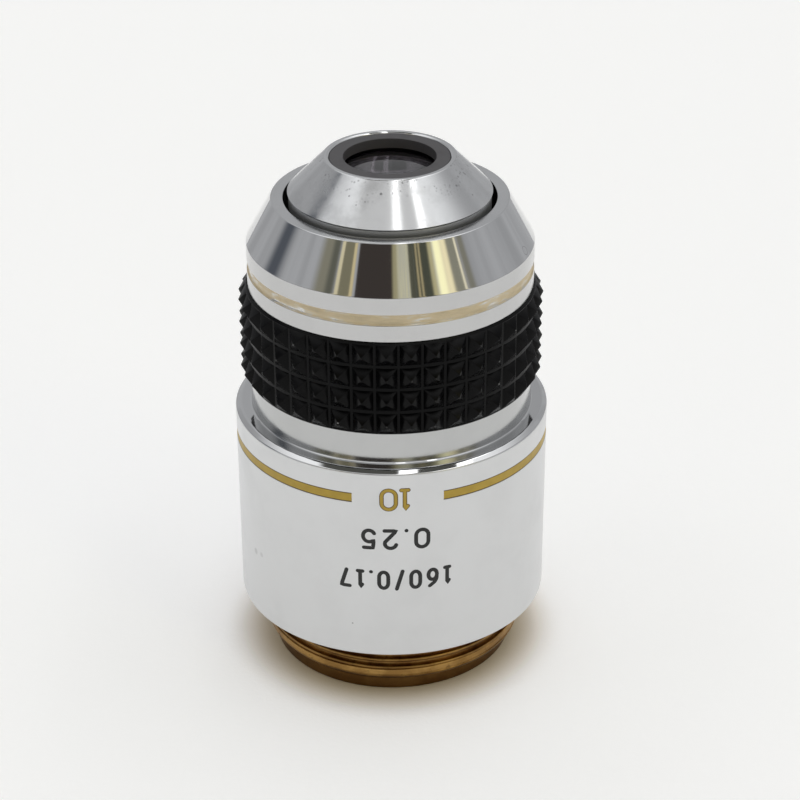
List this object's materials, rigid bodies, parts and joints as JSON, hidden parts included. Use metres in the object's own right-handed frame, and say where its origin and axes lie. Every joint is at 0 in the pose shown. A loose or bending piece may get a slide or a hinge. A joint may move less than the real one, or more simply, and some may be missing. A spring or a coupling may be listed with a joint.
{
  "type": "microscope objective",
  "caption": "Microscope objective with a threaded mount, stepped chrome barrel, pyramid-knurled grip ring, conical cover and recessed front lens in a tapered nose.",
  "frame": {"origin": "centre of the thread's foot, on the surface that the objective stands on", "axes": "+Z along the optical axis towards the front lens, -Y towards the magnification mark"},
  "size_m": [0.024, 0.024, 0.0408],
  "materials": {
    "satin_chrome": "satin chrome plate, fine turned lay, light wear",
    "mirror_chrome": "polished chrome cone, satin band with worn cream paint in the colour groove",
    "nose_chrome": "satin chrome with small pits and a polished rim",
    "black_grip": "black anodised, semi-matt, edges slightly rubbed",
    "black_anodised": "matt black anodised",
    "aged_brass": "aged brown brass, darker towards the foot",
    "bright_brass": "plain turned brass",
    "black_inner": "blackened brass, matt",
    "line_paint": "mustard-yellow engraving paint in the ring line and the magnification",
    "steel": "plain steel",
    "crown_glass": "polished optical glass",
    "flint_glass": "polished, coated optical glass, faint purple"
  },
  "bodies": {
    "root": {"mount_body": "aged_brass", "centring_screws": "steel", "barrel_sleeve": "satin_chrome", "front_sleeve": "mirror_chrome", "grip_ring": "black_grip", "nose_cone": "nose_chrome", "front_lens_cell": "black_anodised", "front_flint_lens": "flint_glass", "front_crown_lens": "crown_glass", "front_lens_retainer": "black_anodised", "rear_flint_lens": "flint_glass", "rear_crown_lens": "crown_glass", "rear_lens_retainer": "black_anodised", "rear_lens_cell": "black_anodised", "aperture_stop": "black_anodised", "spacer_tube": "black_inner", "lens_tube": "black_inner", "parfocal_shim": "bright_brass", "tube_nut": "black_inner", "rear_baffle": "black_anodised"}
  },
  "joints": []
}
